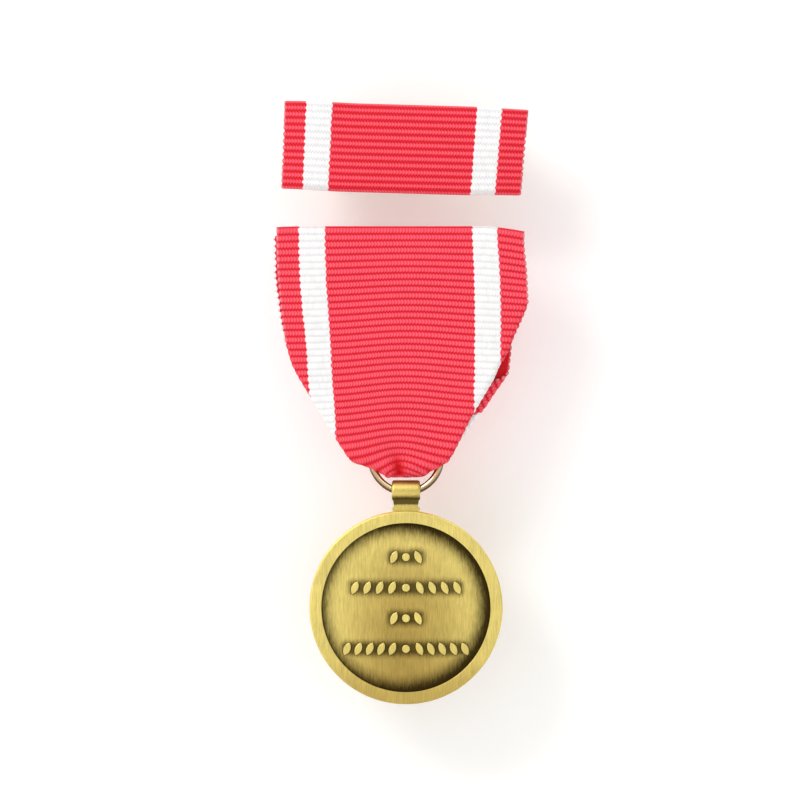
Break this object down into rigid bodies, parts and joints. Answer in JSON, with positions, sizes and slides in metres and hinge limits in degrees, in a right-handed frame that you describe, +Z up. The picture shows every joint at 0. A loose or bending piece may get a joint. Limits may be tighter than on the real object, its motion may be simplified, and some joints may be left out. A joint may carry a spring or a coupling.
{
  "type": "medal",
  "caption": "Round struck medal hanging by a jump ring from a striped ribbon on a pin brooch, with a matching ribbon bar on clutch-back posts.",
  "frame": {"origin": "middle of the straight part of the brooch needle, on its axis", "axes": "+Z up when worn, from the disc towards the brooch; -Y out of the side that is looked at, away from the garment; -X along the needle from its hinge to its point"},
  "size_m": [0.0351, 0.0115, 0.0849],
  "materials": {
    "ribbon": "matte",
    "antique_brass": "satin",
    "gilt_wire": "polished",
    "brooch_steel": "satin",
    "needle_steel": "polished",
    "clutch_brass": "satin"
  },
  "bodies": {
    "brooch": {"brooch_plate": "brooch_steel", "ribbon_head": "ribbon", "brooch_cover": "brooch_steel", "rivet_left": "brooch_steel", "rivet_right": "brooch_steel", "hinge_bracket": "brooch_steel", "hinge_rivet": "brooch_steel", "catch_housing": "brooch_steel"},
    "needle": {"brooch_needle": "needle_steel"},
    "roller": {"catch_roller": "brooch_steel"},
    "drape": {"ribbon_drape": "ribbon"},
    "ring": {"jump_ring": "gilt_wire"},
    "medal": {"suspension_bail": "antique_brass", "medal_disc": "antique_brass"},
    "bar": {"bar_plate": "clutch_brass", "bar_ribbon": "ribbon", "post_left": "clutch_brass", "post_right": "clutch_brass"},
    "clutch_left": {"clutch_base_left": "clutch_brass"},
    "wing_upper_left": {"wing_upper_left": "clutch_brass"},
    "wing_lower_left": {"wing_lower_left": "clutch_brass"},
    "clutch_right": {"clutch_base_right": "clutch_brass"},
    "wing_upper_right": {"wing_upper_right": "clutch_brass"},
    "wing_lower_right": {"wing_lower_right": "clutch_brass"}
  },
  "joints": [
    {"name": "pin_open", "type": "hinge", "parent": "brooch", "child": "needle", "pos_m": [0.0126, 0, 0], "axis": [0, 0, -1], "range_deg": [0, 75]},
    {"name": "catch_turn", "type": "hinge", "parent": "brooch", "child": "roller", "pos_m": [-0.0134, 0, 0], "axis": [-1, 0, 0], "range_deg": [0, 100]},
    {"name": "drape_swing", "type": "hinge", "parent": "brooch", "child": "drape", "pos_m": [0, -0.0048, -0.00265], "axis": [-1, 0, 0], "range_deg": [0, 50]},
    {"name": "ring_sway", "type": "hinge", "parent": "drape", "child": "ring", "pos_m": [0.0007, -0.00385, -0.02956], "axis": [0, 1, 0], "range_deg": [-8, 8]},
    {"name": "disc_swing", "type": "hinge", "parent": "ring", "child": "medal", "pos_m": [0.0007, -0.00385, -0.03446], "axis": [-1, 0, 0], "range_deg": [-90, 90]},
    {"name": "bar_lift", "type": "slide", "parent": "brooch", "child": "bar", "axis": [0, -1, 0], "range_m": [0, 0.02]},
    {"name": "clutch_left_slide", "type": "slide", "parent": "bar", "child": "clutch_left", "axis": [0, 1, 0], "range_m": [0, 0.01]},
    {"name": "squeeze_upper_left", "type": "hinge", "parent": "clutch_left", "child": "wing_upper_left", "pos_m": [-0.00899, 0.00175, 0.01806], "axis": [-0.9996, 0, 0.0279], "range_deg": [0, 12]},
    {"name": "squeeze_lower_left", "type": "hinge", "parent": "clutch_left", "child": "wing_lower_left", "pos_m": [-0.00921, 0.00175, 0.01027], "axis": [0.9996, 0, -0.0279], "range_deg": [0, 12]},
    {"name": "clutch_right_slide", "type": "slide", "parent": "bar", "child": "clutch_right", "axis": [0, 1, 0], "range_m": [0, 0.01]},
    {"name": "squeeze_upper_right", "type": "hinge", "parent": "clutch_right", "child": "wing_upper_right", "pos_m": [0.01001, 0.00175, 0.01753], "axis": [-0.9996, 0, 0.0279], "range_deg": [0, 12]},
    {"name": "squeeze_lower_right", "type": "hinge", "parent": "clutch_right", "child": "wing_lower_right", "pos_m": [0.00979, 0.00175, 0.00974], "axis": [0.9996, 0, -0.0279], "range_deg": [0, 12]}
  ]
}
